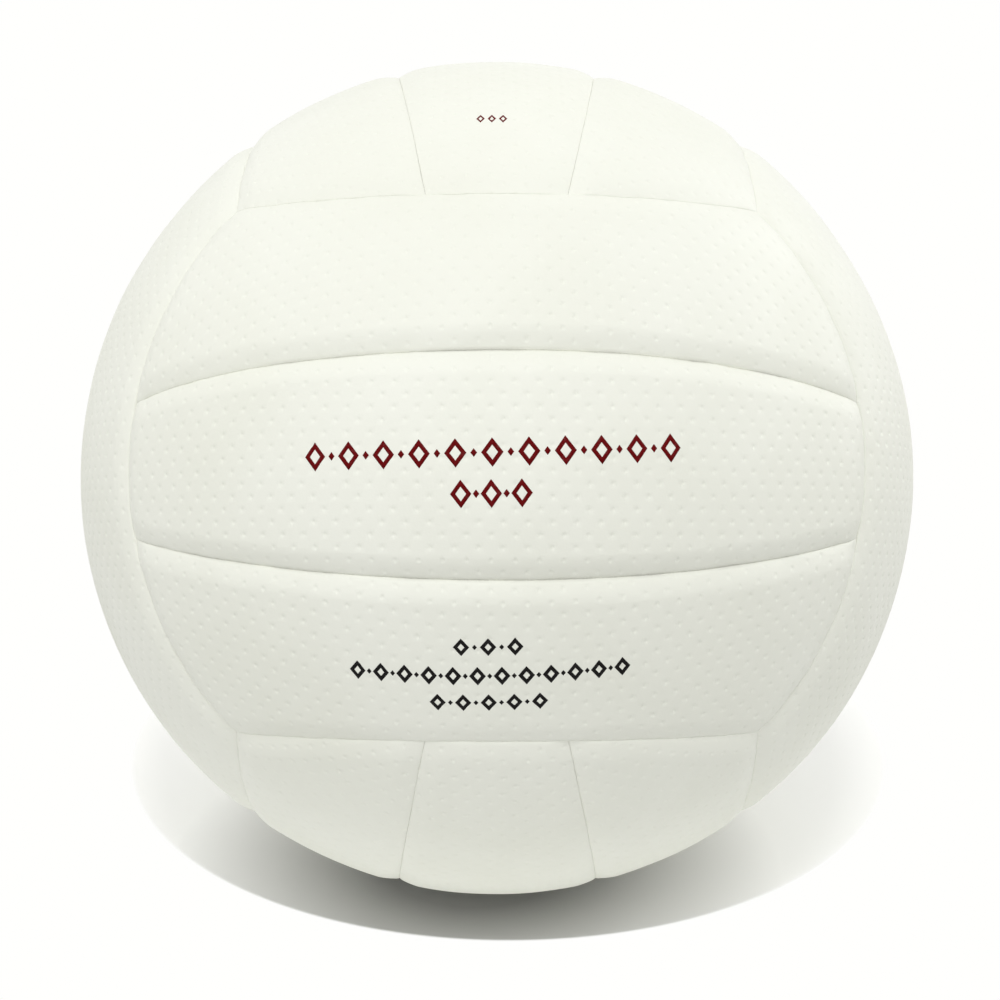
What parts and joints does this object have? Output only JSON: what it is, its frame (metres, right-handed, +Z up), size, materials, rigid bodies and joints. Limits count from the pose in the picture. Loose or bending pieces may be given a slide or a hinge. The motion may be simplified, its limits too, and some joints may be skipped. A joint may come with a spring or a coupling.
{
  "type": "volleyball",
  "caption": "Indoor volleyball with a white panelled synthetic leather cover over foam, a rubber carcass, a thread winding, an air bladder and a needle valve.",
  "frame": {"origin": "centre of the ball", "axes": "+Z up as the ball lies in the picture, -Y towards the viewer, +X to the viewer's right. The front group of panels faces -Y and looks up by 22 degrees, and the valve is at the centre of the back group, opposite it."},
  "size_m": [0.21, 0.21, 0.21],
  "materials": {
    "cover_leather": "satin synthetic leather, pebbled with rows of small dimples",
    "backing_foam": "matt closed-cell foam",
    "carcass_rubber": "matt moulded rubber",
    "winding_thread": "wound nylon thread",
    "bladder_rubber": "smooth butyl rubber",
    "patch_rubber": "matt rubber",
    "valve_rubber": "matt moulded rubber",
    "core_rubber": "soft natural rubber"
  },
  "bodies": {
    "root": {"skin_top_left": "cover_leather", "skin_top_middle": "cover_leather", "skin_top_right": "cover_leather", "skin_bottom_left": "cover_leather", "skin_bottom_middle": "cover_leather", "skin_bottom_right": "cover_leather", "skin_left_front": "cover_leather", "skin_left_middle": "cover_leather", "skin_left_rear": "cover_leather", "skin_right_front": "cover_leather", "skin_right_middle": "cover_leather", "skin_right_rear": "cover_leather", "skin_front_upper": "cover_leather", "skin_front_middle": "cover_leather", "skin_front_lower": "cover_leather", "skin_back_upper": "cover_leather", "skin_back_middle": "cover_leather", "skin_back_lower": "cover_leather", "pad_top_left": "backing_foam", "pad_top_middle": "backing_foam", "pad_top_right": "backing_foam", "pad_bottom_left": "backing_foam", "pad_bottom_middle": "backing_foam", "pad_bottom_right": "backing_foam", "pad_left_front": "backing_foam", "pad_left_middle": "backing_foam", "pad_left_rear": "backing_foam", "pad_right_front": "backing_foam", "pad_right_middle": "backing_foam", "pad_right_rear": "backing_foam", "pad_front_upper": "backing_foam", "pad_front_middle": "backing_foam", "pad_front_lower": "backing_foam", "pad_back_upper": "backing_foam", "pad_back_middle": "backing_foam", "pad_back_lower": "backing_foam", "carcass": "carcass_rubber", "winding": "winding_thread", "bladder": "bladder_rubber", "balance_patch": "patch_rubber", "valve_housing": "valve_rubber", "valve_core": "core_rubber"}
  },
  "joints": []
}
